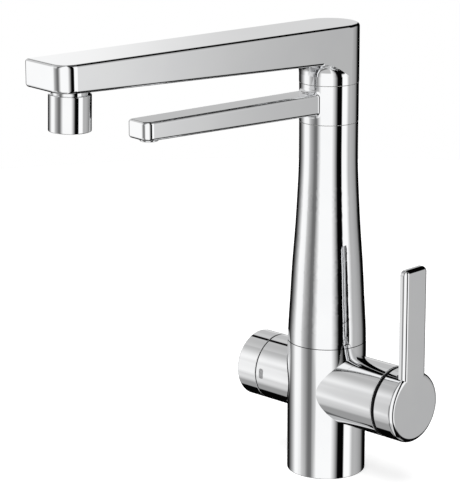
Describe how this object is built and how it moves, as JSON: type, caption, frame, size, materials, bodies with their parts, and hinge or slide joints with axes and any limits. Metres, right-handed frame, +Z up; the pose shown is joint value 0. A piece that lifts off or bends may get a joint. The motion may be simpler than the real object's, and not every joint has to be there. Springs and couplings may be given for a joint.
{
  "type": "three way filtered water kitchen tap",
  "caption": "Chrome kitchen mixer tap with a long square main spout, a separate slim spout for filtered water, a side lever and a filter knob.",
  "frame": {"origin": "centre of the round base on the worktop, in the plane of its underside", "axes": "+Z up along the column; +X out along the mixer lever's axis; -Y towards the sink; the spouts stand 6.6 degrees from -Y towards the filter knob, as in the picture"},
  "size_m": [0.1316, 0.2379, 0.2889],
  "materials": {
    "chrome": "mirror polished chrome plate over brass",
    "brass": "machined",
    "steel": "stainless, turned or drawn",
    "rubber": "matte black",
    "black_plastic": "moulded, black",
    "index_grey": "moulded, grey",
    "white_plastic": "moulded, off white",
    "ceramic": "lapped white ceramic"
  },
  "bodies": {
    "body": {"lower_body": "chrome", "upper_body": "chrome", "waterway_core": "brass", "base_seal": "rubber", "body_seal": "rubber", "body_screw": "steel", "mixer_cartridge": "white_plastic", "cartridge_port_seals": "rubber", "fixed_mixing_disc": "ceramic", "cartridge_nut": "brass", "slip_ring": "black_plastic", "riser_tube": "steel", "filter_tube": "white_plastic", "tube_seals": "rubber", "spout_stem": "brass", "filter_stem_seals": "rubber", "spout_stem_seals": "rubber", "lower_slide_washer": "white_plastic", "filter_valve_body": "brass", "filter_valve_seal": "rubber", "fixed_filter_disc": "ceramic", "filter_sleeve": "chrome", "sleeve_ring": "black_plastic", "index_mark": "index_grey"},
    "main_spout": {"main_spout": "chrome", "spout_lower_bush": "white_plastic", "spout_upper_bush": "white_plastic", "spout_screw": "steel", "aerator_housing": "chrome", "aerator_insert": "white_plastic", "aerator_seal": "rubber"},
    "filter_spout": {"filter_spout": "chrome", "filter_lower_bush": "white_plastic", "filter_upper_bush": "white_plastic", "upper_slide_washer": "white_plastic", "filter_nozzle": "chrome", "filter_nozzle_seal": "rubber"},
    "mixer_rotor": {"stem_carrier": "white_plastic", "pivot_pin": "steel", "moving_mixing_disc": "ceramic"},
    "mixer_lever": {"lever_stem": "steel", "mixer_handle": "chrome", "handle_screw": "steel"},
    "filter_knob": {"filter_knob": "chrome", "knob_adapter": "brass", "knob_screw": "steel", "filter_spindle": "brass", "moving_filter_disc": "ceramic", "spindle_seal": "rubber"}
  },
  "joints": [
    {"name": "main_spout_swivel", "type": "hinge", "parent": "body", "child": "main_spout", "pos_m": [0, 0, 0.2525], "axis": [0, 0, 1], "range_deg": [-68.4, 81.6]},
    {"name": "filter_spout_swivel", "type": "hinge", "parent": "body", "child": "filter_spout", "pos_m": [0, 0, 0.228], "axis": [0, 0, 1], "range_deg": [-68.4, 81.6]},
    {"name": "temperature_turn", "type": "hinge", "parent": "body", "child": "mixer_rotor", "pos_m": [0.036, 0, 0.0568], "axis": [1, 0, 0], "range_deg": [-50, 50]},
    {"name": "flow_tilt", "type": "hinge", "parent": "mixer_rotor", "child": "mixer_lever", "pos_m": [0.036, 0, 0.0568], "axis": [0, 1, 0], "range_deg": [0, 20]},
    {"name": "filter_knob_turn", "type": "hinge", "parent": "body", "child": "filter_knob", "pos_m": [-0.0428, 0, 0.0579], "axis": [-1, 0, 0], "range_deg": [0, 90]}
  ]
}
